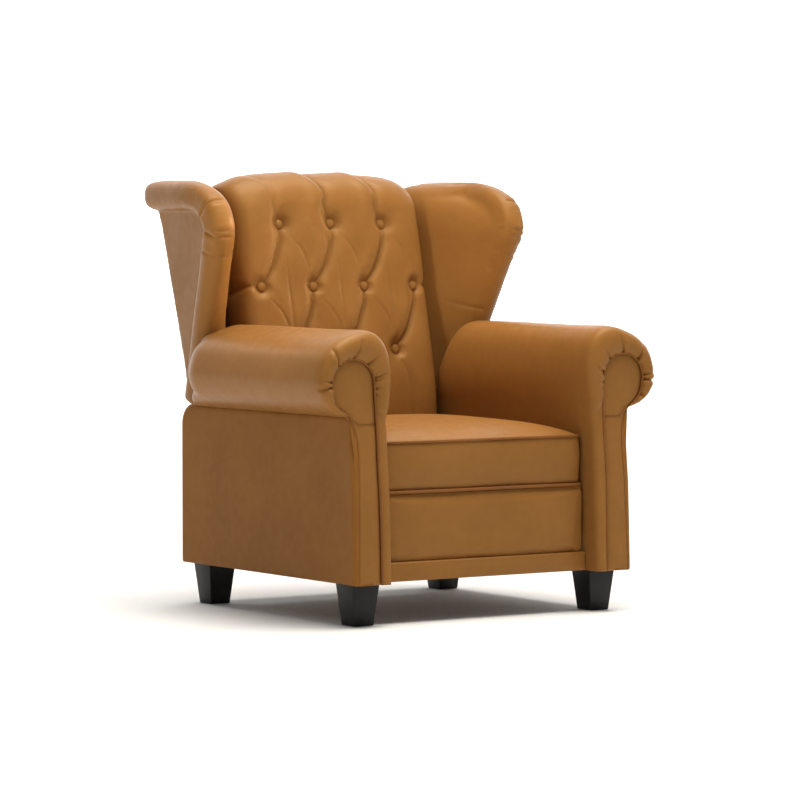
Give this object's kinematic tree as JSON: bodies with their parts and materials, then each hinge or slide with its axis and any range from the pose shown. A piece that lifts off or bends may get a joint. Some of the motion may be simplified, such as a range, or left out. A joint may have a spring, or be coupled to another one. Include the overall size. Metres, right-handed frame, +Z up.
{
  "type": "push-back wing recliner",
  "caption": "Wing-back recliner with rolled arms, button-tufted reclining back, sliding boxed seat and a scissor footrest behind the front panel.",
  "frame": {"origin": "middle of the chair's box, on the floor", "axes": "+Z up, the chair faces -Y, +X is to the right as seen from the front"},
  "size_m": [0.926, 0.8764, 1.0204],
  "materials": {
    "faux_leather": "smooth caramel faux leather, soft satin",
    "piping": "caramel piping, satin",
    "plywood": "sanded birch plywood",
    "black_stained_wood": "black stained and lacquered",
    "zinc_plated_steel": "zinc plated",
    "steel_plate": "black powder coat",
    "webbing": "woven elastic webbing"
  },
  "bodies": {
    "base": {"left_arm_frame": "plywood", "right_arm_frame": "plywood", "left_side_panel": "faux_leather", "right_side_panel": "faux_leather", "left_inner_panel": "faux_leather", "right_inner_panel": "faux_leather", "left_arm_roll": "faux_leather", "right_arm_roll": "faux_leather", "left_scroll_panel": "faux_leather", "right_scroll_panel": "faux_leather", "left_scroll_piping": "piping", "right_scroll_piping": "piping", "front_rail": "faux_leather", "rear_rail": "faux_leather", "front_left_foot": "black_stained_wood", "front_right_foot": "black_stained_wood", "rear_left_foot": "black_stained_wood", "rear_right_foot": "black_stained_wood", "foot_bolts": "zinc_plated_steel", "left_base_bracket": "steel_plate", "right_base_bracket": "steel_plate", "bracket_bolts": "zinc_plated_steel"},
    "back": {"back_frame": "plywood", "back_webbing": "webbing", "back_cushion": "faux_leather", "back_buttons": "faux_leather", "outside_back_panel": "faux_leather", "left_wing_frame": "plywood", "right_wing_frame": "plywood", "left_wing_pad": "faux_leather", "right_wing_pad": "faux_leather", "left_back_bracket": "steel_plate", "right_back_bracket": "steel_plate"},
    "seat": {"seat_frame": "plywood", "seat_springs": "zinc_plated_steel", "spring_clips": "zinc_plated_steel", "seat_cushion": "faux_leather", "seat_piping": "piping", "left_seat_plate": "steel_plate", "right_seat_plate": "steel_plate", "seat_bolts": "zinc_plated_steel"},
    "front_swing": {"left_front_link": "steel_plate", "right_front_link": "steel_plate", "swing_tube": "zinc_plated_steel"},
    "drive_links": {"left_drive_link": "steel_plate", "right_drive_link": "steel_plate", "drive_tube": "zinc_plated_steel"},
    "lower_links": {"left_lower_link": "steel_plate", "right_lower_link": "steel_plate"},
    "middle_links": {"left_middle_link": "steel_plate", "right_middle_link": "steel_plate"},
    "upper_links": {"left_upper_link": "steel_plate", "right_upper_link": "steel_plate"},
    "short_links": {"left_short_link": "steel_plate", "right_short_link": "steel_plate"},
    "footrest": {"left_board_link": "steel_plate", "right_board_link": "steel_plate", "footrest_board": "plywood", "footrest_pad": "faux_leather"}
  },
  "joints": [
    {"name": "back_recline", "type": "hinge", "parent": "base", "child": "back", "pos_m": [0, 0.2755, 0.44], "axis": [-1, 0, 0], "range_deg": [0, 30]},
    {"name": "seat_hinge", "type": "hinge", "parent": "back", "child": "seat", "pos_m": [0, 0.2755, 0.318], "axis": [-1, 0, 0], "range_deg": [-30, 0]},
    {"name": "front_swing_hinge", "type": "hinge", "parent": "base", "child": "front_swing", "pos_m": [0, -0.1695, 0.282], "axis": [-1, 0, 0], "range_deg": [0, 30]},
    {"name": "footrest_open", "type": "hinge", "parent": "seat", "child": "drive_links", "pos_m": [0, -0.2695, 0.2855], "axis": [-1, 0, 0], "range_deg": [0, 76]},
    {"name": "lower_link_turn", "type": "hinge", "parent": "drive_links", "child": "lower_links", "pos_m": [0, -0.27803, 0.21602], "axis": [-1, 0, 0], "range_deg": [-152, 0]},
    {"name": "middle_link_turn", "type": "hinge", "parent": "drive_links", "child": "middle_links", "pos_m": [0, -0.28656, 0.14654], "axis": [-1, 0, 0], "range_deg": [-152, 0]},
    {"name": "upper_link_turn", "type": "hinge", "parent": "lower_links", "child": "upper_links", "pos_m": [0, -0.28656, 0.2855], "axis": [-1, 0, 0], "range_deg": [0, 152]},
    {"name": "board_link_turn", "type": "hinge", "parent": "middle_links", "child": "footrest", "pos_m": [0, -0.30362, 0.2855], "axis": [-1, 0, 0], "range_deg": [0, 152]},
    {"name": "short_link_turn", "type": "hinge", "parent": "upper_links", "child": "short_links", "pos_m": [0, -0.30362, 0.14654], "axis": [-1, 0, 0], "range_deg": [-152, 0]}
  ],
  "couplings": [
    {"joint": "seat_hinge", "follows": "back_recline", "ratio": -1},
    {"joint": "front_swing_hinge", "follows": "back_recline", "ratio": 1},
    {"joint": "lower_link_turn", "follows": "footrest_open", "ratio": -2},
    {"joint": "middle_link_turn", "follows": "footrest_open", "ratio": -2},
    {"joint": "upper_link_turn", "follows": "footrest_open", "ratio": 2},
    {"joint": "board_link_turn", "follows": "footrest_open", "ratio": 2},
    {"joint": "short_link_turn", "follows": "footrest_open", "ratio": -2}
  ]
}
